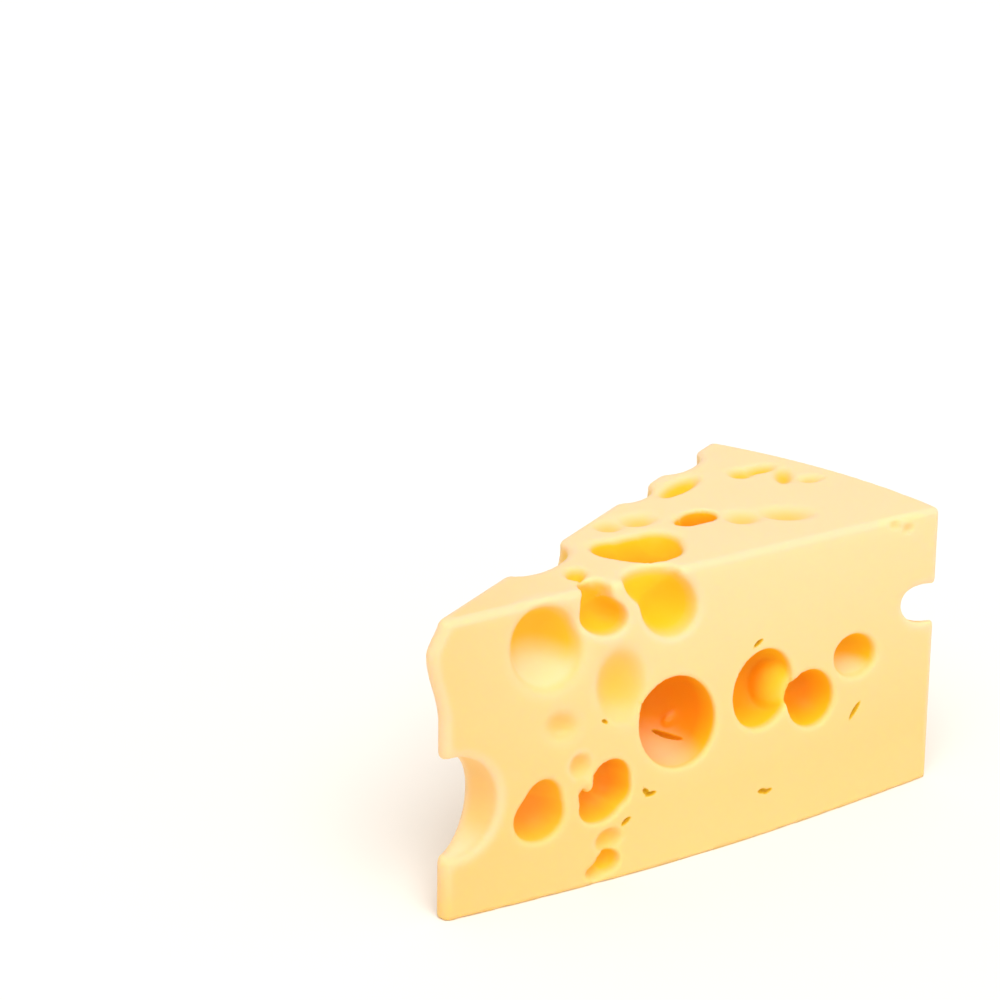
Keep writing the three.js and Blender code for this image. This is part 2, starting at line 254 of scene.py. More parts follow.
class WedgeSizes(bpy.types.PropertyGroup):
    """Sizes of the cut wedge and its eyes."""

    wheel_radius: bpy.props.FloatProperty(
        name="Wheel radius", description="From the wheel's axis to its rim",
        default=RADIUS * MM, unit="LENGTH")
    wedge_angle: bpy.props.FloatProperty(
        name="Wedge angle", description="Between the front face and the back face",
        default=WEDGE_ANGLE, subtype="ANGLE")
    height: bpy.props.FloatProperty(
        name="Height", description="Thickness of the wheel", default=HEIGHT * MM, unit="LENGTH")
    edge_rounding: bpy.props.FloatProperty(
        name="Edge rounding", description="Radius of the top and base edges",
        default=2.0 * MM, unit="LENGTH")
    base_rounding: bpy.props.FloatProperty(
        name="Base rounding", description="Radius of the edges it stands on",
        default=0.5 * MM, unit="LENGTH")
    tip_rounding: bpy.props.FloatProperty(
        name="Tip rounding", description="Radius of the sharp upright edge", default=2.4 * MM, unit="LENGTH")
    rim_corner_rounding: bpy.props.FloatProperty(
        name="Rim corner rounding", description="Radius of the two upright edges at the rim",
        default=2.4 * MM, unit="LENGTH")
    front_sag: bpy.props.FloatProperty(
        name="Front sag", description="How far the lower front face swells out at mid length",
        default=5.0 * MM, unit="LENGTH")
    rim_foot: bpy.props.FloatProperty(
        name="Rim foot", description="How much further out the curved side stands at the base",
        default=2.0 * MM, unit="LENGTH")
    tip_lean: bpy.props.FloatProperty(
        name="Tip lean", description="How far the upper tip leans out over the lower one",
        default=4.0 * MM, unit="LENGTH")
    tip_lean_start: bpy.props.FloatProperty(
        name="Tip lean start", description="Depth below the top where the tip starts to lean",
        default=30.0 * MM, unit="LENGTH")
    tip_lean_full: bpy.props.FloatProperty(
        name="Tip lean full", description="Depth below the top where the tip leans most",
        default=10.0 * MM, unit="LENGTH")
    tip_lean_reach: bpy.props.FloatProperty(
        name="Tip lean reach", description="The lean dies out this far from the tip",
        default=45.0 * MM, unit="LENGTH")
    eye_scale: bpy.props.FloatProperty(
        name="Eye scale", description="All eyes grow or shrink together", default=1.0, min=0.2)
    mesh_step: bpy.props.FloatProperty(
        name="Mesh step", description="Spacing of the mesh over the surface",
        default=0.98 * MM, unit="LENGTH")
    ripple: bpy.props.FloatProperty(
        name="Ripple", description="Height of the soft waves that the knife leaves",
        default=0.12 * MM, unit="LENGTH")
    eye_ripple: bpy.props.FloatProperty(
        name="Eye ripple", description="Height of the small bumps inside the eyes", default=0.25 * MM,
        unit="LENGTH")
    colour: bpy.props.StringProperty(
        name="Paste colour", description="Cut face, as an sRGB hex value", default="#fcc97f")
    # Moister patches, deeper colour at the lower tip, and painted shade on the top face.
    moist_and_shade_colour: bpy.props.StringProperty(
        name="Moist paste colour", description="Moister patches of the cut, as an sRGB hex value",
        default="#fbbd68")
    # Painted shade on the wall of a shallow eye.
    shallow_shade_colour: bpy.props.StringProperty(
        name="Shallow eye colour", description="Wall of a shallow eye, as an sRGB hex value",
        default="#fdc40e")
    # Painted shade on the deepest wall of an eye.
    deep_shade_colour: bpy.props.StringProperty(
        name="Deep eye colour", description="Deepest wall of an eye, as an sRGB hex value",
        default="#f89900")
    # Paler tone towards the top and in patches, and painted sheen on the top face.
    pale_and_sheen_colour: bpy.props.StringProperty(
        name="Dry paste colour", description="Paler paste towards the top, as an sRGB hex value",
        default="#fee2be")
    # Painted highlight on thin edges and rims.
    rim_highlight_colour: bpy.props.StringProperty(
        name="Crest colour", description="Thin edges and rims, as an sRGB hex value", default="#fdd0aa")
    # Painted light on the lower walls of eyes.
    painted_light_colour: bpy.props.StringProperty(
        name="Bloom colour", description="Dried lower wall of an eye, as an sRGB hex value",
        default="#fddcb4")
    # Painted shade inside a thin slit.
    slit_shade_colour: bpy.props.StringProperty(
        name="Slit colour", description="Inside of a thin slit, as an sRGB hex value", default="#dcae24")


class StageSettings(bpy.types.PropertyGroup):
    """The floor, the lights and the camera."""

    floor_colour: bpy.props.StringProperty(
        name="Floor colour", description="Plain floor, as an sRGB hex value", default="#f6f4f0")
    key_strength: bpy.props.FloatProperty(
        name="Key light", description="Strength of the large light overhead", default=2.4, min=0)
    fill_strength: bpy.props.FloatProperty(
        name="Fill light", description="Strength of the large light in front", default=0.2, min=0)
    room_strength: bpy.props.FloatProperty(
        name="Room light", description="Strength of the even light all round", default=0.55, min=0)
    lens: bpy.props.FloatProperty(name="Lens", description="Focal length", default=97.2,
                                  subtype="DISTANCE_CAMERA")


def linear(colour):
    """An sRGB hex value as linear red, green, blue and alpha."""
    channels = [int(colour[i:i + 2], 16) / 255 for i in (1, 3, 5)]
    return [c / 12.92 if c <= 0.04045 else ((c + 0.055) / 1.055) ** 2.4 for c in channels] + [1.0]


def node(tree, kind, *values, **settings):
    """Add a node with its settings. Each value is a node or socket to link from, or what the input is set
    to; None leaves that input as it is."""
    made = tree.nodes.new(kind)
    for name, value in settings.items():
        setattr(made, name, value)
    sockets = [socket for socket in made.inputs if socket.enabled]
    for socket, value in zip(sockets, values):
        if isinstance(value, bpy.types.Node):
            value = next(out for out in value.outputs if out.enabled)
        if isinstance(value, bpy.types.NodeSocket):
            tree.links.new(value, socket)
        elif value is not None:
            socket.default_value = value
    return made


def new_group(name, inputs, outputs):
    """An empty geometry node group with its named sockets, and its input node."""
    tree = bpy.data.node_groups.new(name, "GeometryNodeTree")
    for in_out, sockets in (("INPUT", inputs), ("OUTPUT", outputs)):
        for label, kind in sockets:
            tree.interface.new_socket(name=label, in_out=in_out, socket_type="NodeSocket" + kind)
    return tree, tree.nodes.new("NodeGroupInput")


def smoothstep(value, low, high):
    share = min(max((value - low) / (high - low), 0), 1)
    return share * share * (3 - 2 * share)


def settle(point, sizes):
    """Where the soft paste has settled to, for a point in metres measured from the wheel's axis."""
    x, y, z = point
    turn = min(max(math.atan2(y, x) / sizes.wedge_angle, 0), 1)
    along = min(max(x / sizes.wheel_radius, 0), 1)
    low = 1 - z / sizes.height
    swell = sizes.front_sag * math.sin(math.pi * along) * low * (1 - turn)
    spread = sizes.rim_foot * along ** 4 * low
    start, full = sizes.height - sizes.tip_lean_start, sizes.height - sizes.tip_lean_full
    leaning = smoothstep(z, start, full) - smoothstep(z, full, sizes.height)
    lean = sizes.tip_lean * leaning * (1 - smoothstep(x, 0, sizes.tip_lean_reach))
    return Vector((x + spread - lean, y - swell, z))


def face_frames(sizes):
    """Where a place on each face is measured from, along it, up it, and which way is into the paste."""
    angle = sizes.wedge_angle
    up = Vector((0, 0, 1))
    across_top, rise_top = Vector((1, 0, 0)), Vector((0, 1, 0))
    frames = {
        "front": (Vector(), across_top, up, rise_top),
        "back": (Vector(), Vector((math.cos(angle), math.sin(angle), 0)), up,
                 Vector((math.sin(angle), -math.cos(angle), 0))),
        "top": (Vector((0, 0, sizes.height)), across_top, rise_top, -up),
        "base": (Vector(), across_top, rise_top, up),
    }

    def place(face, at):
        """A place on a face: the point, along, up and inward there."""
        if face == "side":
            turn = angle * at[0]
            outward = Vector((math.cos(turn), math.sin(turn), 0))
            point = outward * sizes.wheel_radius + up * at[1] * MM
            return point, Vector((-math.sin(turn), math.cos(turn), 0)), up, -outward
        origin, across, rise, inward = frames[face]
        return origin + across * at[0] * MM + rise * at[1] * MM, across, rise, inward

    return place


def eye_rows(sizes):
    """A row for each eye, lump and slit: its middle, then what EYE_COLUMNS lists."""
    place = face_frames(sizes)
    rows = []
    for face, table in (("front", FRONT_EYES), ("top", TOP_EYES), ("back", BACK_EYES), ("side", SIDE_EYES),
                        ("base", BASE_EYES)):
        for eye in table:
            point, across, rise, inward = place(face, eye["at"])
            aim = (Matrix((across, rise, across.cross(rise))).transposed()
                   @ Matrix.Rotation(math.radians(eye.get("turn", 0)), 3, "Z")
                   @ Matrix.Rotation(-math.radians(eye.get("swing", 0)), 3, "Y")
                   @ Matrix.Rotation(-math.radians(eye.get("dip", 0)), 3, "X"))
            calm = min(max((eye.get("stain", 0.0) - 0.4) * 2.5, 0.0), 0.85)
            rows.append((settle(point, sizes) + inward * eye["sunk"] * MM, aim.col[0], aim.col[1],
                         Vector(eye["radii"]) * MM * sizes.eye_scale, eye["soft"] * MM,
                         eye.get("stain", 0.0), eye.get("bloom", 0.1), calm, 0.0, eye.get("lump", 0.0)))
    for face, table in (("front", FRONT_SLITS), ("back", BACK_SLITS), ("side", SIDE_SLITS)):
        for at, (length, width), turn in table:
            point, across, rise, _ = place(face, at)
            aim = (Matrix((across, rise, across.cross(rise))).transposed()
                   @ Matrix.Rotation(math.radians(turn), 3, "Z"))
            rows.append((settle(point, sizes), aim.col[0], aim.col[1],
                         Vector((length, width, SLIT_DEPTH)) * MM, SLIT_SOFTNESS * MM, *SLIT_LOOKS))
    along = Vector(WALL_SLIT["along"]).normalized()
    rise = Vector(WALL_SLIT["inward"]).cross(along).normalized()
    rows.append((Vector(WALL_SLIT["middle"]) * MM, along, rise, Vector(WALL_SLIT["radii"]) * MM,
                 SLIT_SOFTNESS * MM, *WALL_SLIT_LOOKS))
    return rows


# What follows the middle in each row. stain sets the painted shade and bloom the painted light, calm keeps
# the painted rim highlights away, and slit paints shade into a slit.
EYE_COLUMNS = {"across": "FLOAT_VECTOR", "rise": "FLOAT_VECTOR", "radii": "FLOAT_VECTOR", "soft": "FLOAT",
               "stain": "FLOAT", "bloom": "FLOAT", "calm": "FLOAT", "slit": "FLOAT", "lump": "FLOAT"}
MARKS = ("Stain", "Bloom", "Calm", "Slit")
SIZE_INPUTS = [(label, "Float") for label in (
    "Wheel radius", "Wedge angle", "Height", "Edge rounding", "Base rounding", "Tip rounding",
    "Rim corner rounding", "Front sag", "Rim foot", "Tip lean", "Tip lean start", "Tip lean full",
    "Tip lean reach", "Ripple", "Eye ripple")]


def rounded_meeting(tree, a, b, radius):
    """Where two faces meet: the larger of two distances, rounded to a radius."""
    in_a = node(tree, MATH, node(tree, MATH, a, radius, operation="ADD"), 0.0, operation="MAXIMUM")
    in_b = node(tree, MATH, node(tree, MATH, b, radius, operation="ADD"), 0.0, operation="MAXIMUM")
    corner = node(tree, VECTOR, node(tree, XYZ, in_a, in_b), operation="LENGTH")
    inner = node(tree, MATH, node(tree, MATH, a, b, operation="MAXIMUM"),
                 node(tree, MATH, radius, -1.0, operation="MULTIPLY"), operation="MINIMUM")
    return node(tree, MATH, corner, inner, operation="ADD")


def body_distance_group():
    """Distance from the uncut wedge, below zero inside it. Places are measured from the wheel's axis."""
    tree, given = new_group("Wedge body distance", [("Place", "Vector")] + SIZE_INPUTS,
                            [("Distance", "Float")])
    size = given.outputs
    place = node(tree, SPLIT, size["Place"])
    x, y, z = place.outputs
    # Undo the settling, so that the plain wedge can be measured.
    turn = node(tree, MATH, node(tree, MATH, y, x, operation="ARCTAN2"), size["Wedge angle"],
                operation="DIVIDE", use_clamp=True)
    along = node(tree, MATH, x, size["Wheel radius"], operation="DIVIDE", use_clamp=True)
    low = node(tree, MATH, 1.0, node(tree, MATH, z, size["Height"], operation="DIVIDE"),
               operation="SUBTRACT")
    arch = node(tree, MATH, node(tree, MATH, along, math.pi, operation="MULTIPLY"), operation="SINE")
    front_share = node(tree, MATH, 1.0, turn, operation="SUBTRACT")
    swell = node(tree, MATH, node(tree, MATH, size["Front sag"], arch, operation="MULTIPLY"),
                 node(tree, MATH, low, front_share, operation="MULTIPLY"), operation="MULTIPLY")
    spread = node(tree, MATH, node(tree, MATH, size["Rim foot"], low, operation="MULTIPLY"),
                  node(tree, MATH, along, 4.0, operation="POWER"), operation="MULTIPLY")
    start = node(tree, MATH, size["Height"], size["Tip lean start"], operation="SUBTRACT")
    full = node(tree, MATH, size["Height"], size["Tip lean full"], operation="SUBTRACT")
    leaning = node(tree, RANGE, z, start, full, 0.0, 1.0, **SMOOTH)
    rounding_off = node(tree, RANGE, z, full, size["Height"], 0.0, 1.0, **SMOOTH)
    near_tip = node(tree, RANGE, x, 0.0, size["Tip lean reach"], 1.0, 0.0, **SMOOTH)
    lean_share = node(tree, MATH, node(tree, MATH, leaning, rounding_off, operation="SUBTRACT"), near_tip,
                      operation="MULTIPLY")
    lean = node(tree, MATH, size["Tip lean"], lean_share, operation="MULTIPLY")
    plain_x = node(tree, MATH, x, node(tree, MATH, lean, spread, operation="SUBTRACT"), operation="ADD")
    plain_y = node(tree, MATH, y, swell, operation="ADD")
    # The sharp end is measured from the middle of its rounding.
    half_angle = node(tree, MATH, size["Wedge angle"], 0.5, operation="MULTIPLY")
    tip_x = node(tree, MATH, size["Tip rounding"], node(tree, MATH, half_angle, operation="TANGENT"),
                 operation="DIVIDE")
    from_tip_x = node(tree, MATH, plain_x, tip_x, operation="SUBTRACT")
    from_tip_y = node(tree, MATH, plain_y, size["Tip rounding"], operation="SUBTRACT")
    cosine = node(tree, MATH, size["Wedge angle"], operation="COSINE")
    sine = node(tree, MATH, size["Wedge angle"], operation="SINE")
    from_tip = node(tree, XYZ, from_tip_x, from_tip_y)
    along_back = node(tree, VECTOR, from_tip, node(tree, XYZ, cosine, sine), operation="DOT_PRODUCT")
    minus_sine = node(tree, MATH, sine, -1.0, operation="MULTIPLY")
    past_back = node(tree, VECTOR, from_tip, node(tree, XYZ, minus_sine, cosine), operation="DOT_PRODUCT")
    past_front = node(tree, MATH, from_tip_y, -1.0, operation="MULTIPLY")
    past_faces = node(tree, MATH, past_front, past_back, operation="MAXIMUM")
    before_tip = node(tree, MATH, node(tree, MATH, from_tip_x, 0.0, operation="LESS_THAN"),
                      node(tree, MATH, along_back, 0.0, operation="LESS_THAN"), operation="MULTIPLY")
    inner = node(tree, "GeometryNodeSwitch", before_tip, past_faces,
                 node(tree, VECTOR, from_tip, operation="LENGTH"), input_type="FLOAT")
    past_cut = node(tree, MATH, inner, size["Tip rounding"], operation="SUBTRACT")
    plan_reach = node(tree, VECTOR, node(tree, XYZ, plain_x, plain_y), operation="LENGTH")
    past_rim = node(tree, MATH, plan_reach, size["Wheel radius"], operation="SUBTRACT")
    plan = rounded_meeting(tree, past_cut, past_rim, size["Rim corner rounding"])
    half_height = node(tree, MATH, size["Height"], 0.5, operation="MULTIPLY")
    from_middle = node(tree, MATH, node(tree, MATH, z, half_height, operation="SUBTRACT"),
                       operation="ABSOLUTE")
    past_level = node(tree, MATH, from_middle, half_height, operation="SUBTRACT")
    level_rounding = node(tree, RANGE, z, 0.0, half_height, size["Base rounding"], size["Edge rounding"])
    body = rounded_meeting(tree, plan, past_level, level_rounding)
    # Soft waves of the knife, about 30 mm long.
    wave = node(tree, NOISE, size["Place"], None, 34.0, 1.0, 0.5, noise_dimensions="3D")
    wave_height = node(tree, MATH, node(tree, MATH, wave, 0.5, operation="SUBTRACT"), size["Ripple"],
                       operation="MULTIPLY")
    node(tree, OUTPUT, node(tree, MATH, body, wave_height, operation="ADD"))
    return tree


def paste_distance_group(body_group):
    """Distance from the paste once the eyes are cut, and how strongly the nearest eye or slit gives a place
    painted shade, painted light, calm and slit shade.
    """
    tree, given = new_group(
        "Paste distance", [("Eyes", "Geometry"), ("Place", "Vector")] + SIZE_INPUTS,
        [("Distance", "Float"), ("Body", "Float")] + [(mark, "Float") for mark in MARKS])
    sizes = [given.outputs[label] for label, _ in SIZE_INPUTS]
    body = node(tree, GROUP, given.outputs["Place"], *sizes, node_tree=body_group)
    count = node(tree, "GeometryNodeAttributeDomainSize", given.outputs["Eyes"], component="MESH")
    start = tree.nodes.new("GeometryNodeRepeatInput")
    end = tree.nodes.new("GeometryNodeRepeatOutput")
    start.pair_with_output(end)
    end.repeat_items.clear()
    for label in ("Distance", *MARKS):
        end.repeat_items.new("FLOAT", label)
    tree.links.new(count.outputs["Point Count"], start.inputs["Iterations"])
    tree.links.new(body.outputs["Distance"], start.inputs["Distance"])
    turn = start.outputs["Iteration"]
    eye = {"middle": node(tree, "GeometryNodeSampleIndex", given.outputs["Eyes"],
                          node(tree, "GeometryNodeInputPosition"), turn, data_type="FLOAT_VECTOR")}
    for name, kind in EYE_COLUMNS.items():
        stored = node(tree, "GeometryNodeInputNamedAttribute", name, data_type=kind)
        eye[name] = node(tree, "GeometryNodeSampleIndex", given.outputs["Eyes"], stored, turn,
                         data_type=kind)
    inward = node(tree, VECTOR, eye["across"], eye["rise"], operation="CROSS_PRODUCT")
    from_middle = node(tree, VECTOR, given.outputs["Place"], eye["middle"], operation="SUBTRACT")
    local = node(tree, XYZ, *[node(tree, VECTOR, from_middle, axis, operation="DOT_PRODUCT")
                              for axis in (eye["across"], eye["rise"], inward)])
    share = node(tree, VECTOR, local, eye["radii"], operation="DIVIDE")
    reach = node(tree, VECTOR, share, operation="LENGTH")
    slope = node(tree, VECTOR, node(tree, VECTOR, share, eye["radii"], operation="DIVIDE"),
                 operation="LENGTH")
    past_wall = node(tree, MATH, reach, node(tree, MATH, 1.0, reach, operation="SUBTRACT"),
                     operation="MULTIPLY")
    into_eye = node(tree, MATH, past_wall, node(tree, MATH, slope, NOT_ZERO, operation="MAXIMUM"),
                    operation="DIVIDE")
    past_eye = node(tree, MATH, into_eye, -1.0, operation="MULTIPLY")
    cut = node(tree, MATH, start.outputs["Distance"], into_eye, eye["soft"], operation="SMOOTH_MAX")
    filled = node(tree, MATH, start.outputs["Distance"], past_eye, eye["soft"], operation="SMOOTH_MIN")
    is_lump = node(tree, "FunctionNodeCompare", eye["lump"], 0.5, operation="GREATER_THAN",
                   data_type="FLOAT")
    shaped = node(tree, "GeometryNodeSwitch", is_lump, cut, filled, input_type="FLOAT")
    tree.links.new(shaped.outputs[0], end.inputs["Distance"])
    nearness = {
        "Stain": (reach, *EYE_EDGE), "Bloom": (reach, *EYE_EDGE), "Calm": (past_eye, *CALM_EDGE),
        "Slit": (reach, *SLIT_EDGE),
    }
    for mark in MARKS:
        fading = node(tree, RANGE, *nearness[mark], eye[mark.lower()], 0.0, **SMOOTH)
        most = node(tree, MATH, start.outputs[mark], fading, operation="MAXIMUM")
        tree.links.new(most.outputs[0], end.inputs[mark])
    # Small bumps inside the eyes, about 6 mm apart, which fade out at the uncut face.
    bumps = node(tree, NOISE, given.outputs["Place"], None, 170.0, 1.0, 0.5)
    inside = node(tree, RANGE, body.outputs["Distance"], *BUMP_DEPTH, 0.0, given.outputs["Eye ripple"])
    bump_height = node(tree, MATH, node(tree, MATH, bumps, 0.5, operation="SUBTRACT"), inside,
                       operation="MULTIPLY")
    walls = node(tree, MATH, end.outputs["Distance"], bump_height, operation="ADD")
    node(tree, OUTPUT, walls, body, *[end.outputs[mark] for mark in MARKS])
    return tree


def paste_slope_group(paste_group):
    """Distance, slope and bend of the paste's surface near a place, from seven readings."""
    tree, given = new_group(
        "Paste slope", [("Eyes", "Geometry"), ("Place", "Vector"), ("Reading step", "Float")] + SIZE_INPUTS,
        [("Distance", "Float"), ("Slope", "Vector"), ("Bend", "Float"), ("Body", "Float")]
        + [(mark, "Float") for mark in MARKS])
    sizes = [given.outputs[label] for label, _ in SIZE_INPUTS]

    def reading(direction):
        offset = node(tree, VECTOR, direction, given.outputs["Reading step"], operation="SCALE")
        place = node(tree, VECTOR, given.outputs["Place"], offset, operation="ADD")
        return node(tree, GROUP, given.outputs["Eyes"], place, *sizes, node_tree=paste_group)

    middle = reading((0, 0, 0))
    slopes, bends = [], []
    for axis in range(3):
        step = [0.0, 0.0, 0.0]
        step[axis] = 1.0
        ahead, behind = reading(step), reading([-value for value in step])
        ahead, behind = ahead.outputs["Distance"], behind.outputs["Distance"]
        slopes.append(node(tree, MATH, ahead, behind, operation="SUBTRACT"))
        bends.append(node(tree, MATH, ahead, behind, operation="ADD"))
    per_step = node(tree, MATH, 0.5, given.outputs["Reading step"], operation="DIVIDE")
    slope = node(tree, VECTOR, node(tree, XYZ, *slopes), per_step, operation="SCALE")
    all_round = node(tree, MATH, node(tree, MATH, bends[0], bends[1], operation="ADD"), bends[2],
                     operation="ADD")
    six = node(tree, MATH, middle.outputs["Distance"], 6.0, operation="MULTIPLY")
    square = node(tree, MATH, given.outputs["Reading step"], 2.0, operation="POWER")
    bend = node(tree, MATH, node(tree, MATH, all_round, six, operation="SUBTRACT"), square,
                operation="DIVIDE")
    node(tree, OUTPUT, middle, slope, bend, *[middle.outputs[label] for label in ("Body", *MARKS)])
    return tree


def skin_tree(paste_group):
    """Points for the eyes come in, and an even mesh close to the paste's surface goes out."""
    tree, given = new_group(
        "Paste skin", [("Eyes", "Geometry"), ("Low corner", "Vector"), ("High corner", "Vector"),
                       ("Mesh step", "Float")] + SIZE_INPUTS, [("Geometry", "Geometry")])
    sizes = [given.outputs[label] for label, _ in SIZE_INPUTS]
    position = node(tree, "GeometryNodeInputPosition").outputs[0]
    field = node(tree, GROUP, given.outputs["Eyes"], position, *sizes, node_tree=paste_group)
    # The paste is dense inside and thins out through its surface, where the mesh is drawn.
    depth = node(tree, MATH, field.outputs["Distance"], given.outputs["Mesh step"], operation="DIVIDE")
    density = node(tree, MATH, SKIN_DENSITY, depth, operation="SUBTRACT")
    span = node(tree, VECTOR, given.outputs["High corner"], given.outputs["Low corner"],
                operation="SUBTRACT")
    per_step = node(tree, MATH, 1.0, given.outputs["Mesh step"], operation="DIVIDE")
    count = node(tree, SPLIT, node(tree, VECTOR, span, per_step, operation="SCALE"))
    block = node(tree, "GeometryNodeVolumeCube", density, 0.0, given.outputs["Low corner"],
                 given.outputs["High corner"], *count.outputs)
    skin = node(tree, "GeometryNodeVolumeToMesh", block, SKIN_DENSITY, 0.0, resolution_mode="GRID")
    node(tree, OUTPUT, node(tree, "GeometryNodeRealizeInstances", skin))
    return tree


def finish_tree(paste_group, material):
    """The refined mesh comes in, and is drawn onto the true surface, given the marks for its painted shade,
    painted light, painted highlights and slit shade, and moved to its place.
    """
    slope_group = paste_slope_group(paste_group)
    tree, given = new_group(
        "Paste finish",
        [("Skin", "Geometry"), ("Eye points", "Object"), ("Wheel axis", "Vector")] + SIZE_INPUTS,
        [("Geometry", "Geometry")])
    sizes = [given.outputs[label] for label, _ in SIZE_INPUTS]
    eyes = node(tree, "GeometryNodeObjectInfo", given.outputs["Eye points"]).outputs["Geometry"]
    position = node(tree, "GeometryNodeInputPosition").outputs[0]
    shape = given.outputs["Skin"]
    for _ in range(2):
        reading = node(tree, GROUP, eyes, position, DRAWING_STEP * MM, *sizes, node_tree=slope_group)
        steepness = node(tree, VECTOR, reading.outputs["Slope"], reading.outputs["Slope"],
                         operation="DOT_PRODUCT")
        share = node(tree, MATH, reading.outputs["Distance"],
                     node(tree, MATH, steepness, LEAST_STEEPNESS, operation="MAXIMUM"), operation="DIVIDE")
        back = node(tree, MATH, share, -1.0, operation="MULTIPLY")
        offset = node(tree, VECTOR, reading.outputs["Slope"], back, operation="SCALE")
        shape = node(tree, "GeometryNodeSetPosition", shape, None, None, offset)
    near = node(tree, GROUP, eyes, position, DRAWING_STEP * MM, *sizes, node_tree=slope_group)
    wide = node(tree, GROUP, eyes, position, RIM_STEP * MM, *sizes, node_tree=slope_group)
    # How deep a place lies below the uncut faces.
    inside = node(tree, RANGE, near.outputs["Body"], *SKIN_DEPTH, 0.0, 1.0, **SMOOTH)
    # Painted shade: the deeper a wall lies in an eye, the more orange it is painted, as far as the eye's
    # share allows.
    depth = node(tree, RANGE, near.outputs["Body"], *PAINTED_SHADE_DEPTH, 0.0, 1.0)
    hollow_shade = node(tree, MATH, depth, near.outputs["Stain"], operation="MULTIPLY")
    # Painted light: the lower walls of some eyes, which face up, are painted pale; the roof and the far
    # walls keep their painted golden shade.
    outward = node(tree, VECTOR, near.outputs["Slope"], operation="NORMALIZE")
    facing = node(tree, VECTOR, outward, PAINTED_LIGHT_SIDE, operation="DOT_PRODUCT")
    spread = node(tree, MATH, node(tree, MATH, near.outputs["Bloom"], PAINTED_LIGHT_SPREAD, operation="MULTIPLY"),
                  facing, operation="ADD")
    lower_wall = node(tree, RANGE, spread, *PAINTED_LIGHT_EDGE, 0.0, 1.0, **SMOOTH)
    blooming = node(tree, RANGE, near.outputs["Bloom"], 0.0, 0.6, 0.0, 1.0)
    bloom = node(tree, MATH, node(tree, MATH, lower_wall, blooming, operation="MULTIPLY"), inside,
                 operation="MULTIPLY")
    # The cut faces are paler towards the top and away from the tip, and palest on the top face, which also
    # gets a little painted sheen.
    height = node(tree, SPLIT, position).outputs["Z"]
    higher = node(tree, RANGE, height, 0.02, 0.088, 0.0, 0.4)
    level = node(tree, RANGE, node(tree, SPLIT, outward).outputs["Z"], 0.5, 0.9, 0.0, 1.0)
    uncut = node(tree, MATH, 1.0, inside, operation="SUBTRACT")
    along = node(tree, SPLIT, position).outputs["X"]
    from_tip = node(tree, RANGE, along, 0.0, 0.07, 0.3, 1.0)
    higher = node(tree, MATH, higher, from_tip, operation="MULTIPLY")
    palest = node(tree, MATH, level, TOP_SHEEN, operation="MULTIPLY")
    pale_and_sheen = node(tree, MATH, node(tree, MATH, higher, palest, operation="ADD"), uncut, operation="MULTIPLY")
    # The colour deepens towards the lower tip, and the top face gets painted shade in the same deeper
    # colour.
    near_tip = node(tree, RANGE, along, 0.0, 0.08, 0.5, 0.0)
    low_tip = node(tree, MATH, near_tip, node(tree, RANGE, height, 0.0, 0.06, 1.0, 0.5),
                   operation="MULTIPLY")
    top_shade = node(tree, MATH, node(tree, MATH, level, TOP_SHADE, operation="MULTIPLY"), uncut,
                     operation="MULTIPLY")
    lower_tip_and_top_shade = node(tree, MATH, low_tip, top_shade, operation="ADD")
    # Painted highlight: sharp bends of edges and eye rims are painted pale, except near deep eyes and the
    # base.
    sharp = node(tree, RANGE, wide.outputs["Bend"], *RIM_HIGHLIGHT_BEND, 0.0, 1.0, **SMOOTH)
    clear = node(tree, MATH, 1.0, near.outputs["Calm"], operation="SUBTRACT", use_clamp=True)
    above_base = node(tree, RANGE, height, 0.004, 0.02, 0.0, 1.0)
    rim = node(tree, MATH, node(tree, MATH, sharp, clear, operation="MULTIPLY"), above_base,
               operation="MULTIPLY")
    # Stored marks: painted shade, painted light, paler tone with painted sheen, deeper tone with painted
    # shade, painted rim highlight, and slit shade.
    for label, value in (("hollow_shade", hollow_shade), ("bloom", bloom), ("pale_and_sheen", pale_and_sheen), ("lower_tip_and_top_shade", lower_tip_and_top_shade), ("rim", rim),
                         ("slit", near.outputs["Slit"])):
        shape = node(tree, "GeometryNodeStoreNamedAttribute", shape, None, label, value, data_type="FLOAT",
                     domain="POINT")
    moved = node(tree, "GeometryNodeTransform", shape)
    tree.links.new(given.outputs["Wheel axis"], moved.inputs["Translation"])
    smooth = node(tree, "GeometryNodeSetShadeSmooth", moved)
    whole = node(tree, "GeometryNodeRealizeInstances", smooth)
    finished = node(tree, "GeometryNodeSetMaterial", whole)
    finished.inputs["Material"].default_value = material
    node(tree, OUTPUT, finished)
    return tree


def run_tree(context, maker, tree, inputs):
    """The plain mesh that a tree makes of an object, which is removed."""
    modifier = maker.modifiers.new(tree.name, "NODES")
    modifier.node_group = tree
    for item in tree.interface.items_tree:
        if item.in_out == "INPUT" and item.name in inputs:
            modifier[item.identifier] = inputs[item.name]
    context.view_layer.update()
    evaluated = maker.evaluated_get(context.evaluated_depsgraph_get())
    mesh = bpy.data.meshes.new_from_object(evaluated)
    bpy.data.objects.remove(maker)
    if not mesh.polygons:
        raise RuntimeError(tree.name + " came out empty")
    return mesh


def refine(mesh, rows):
    """Split the edges round every slit, so that the mesh is fine enough to hold it."""
    slits = [(row[0], row[3][0] + SLIT_MARGIN * MM) for row in rows if row[-2] > 0]
    work = bmesh.new()
    work.from_mesh(mesh)
    for _ in range(2):
        near = {point for point in work.verts
                if any((point.co - middle).length < reach for middle, reach in slits)}
        edges = [edge for edge in work.edges if edge.verts[0] in near and edge.verts[1] in near]
        bmesh.ops.subdivide_edges(work, edges=edges, cuts=1, use_grid_fill=True)
    bmesh.ops.triangulate(work, faces=[face for face in work.faces if len(face.verts) > 4])
    work.to_mesh(mesh)
    work.free()


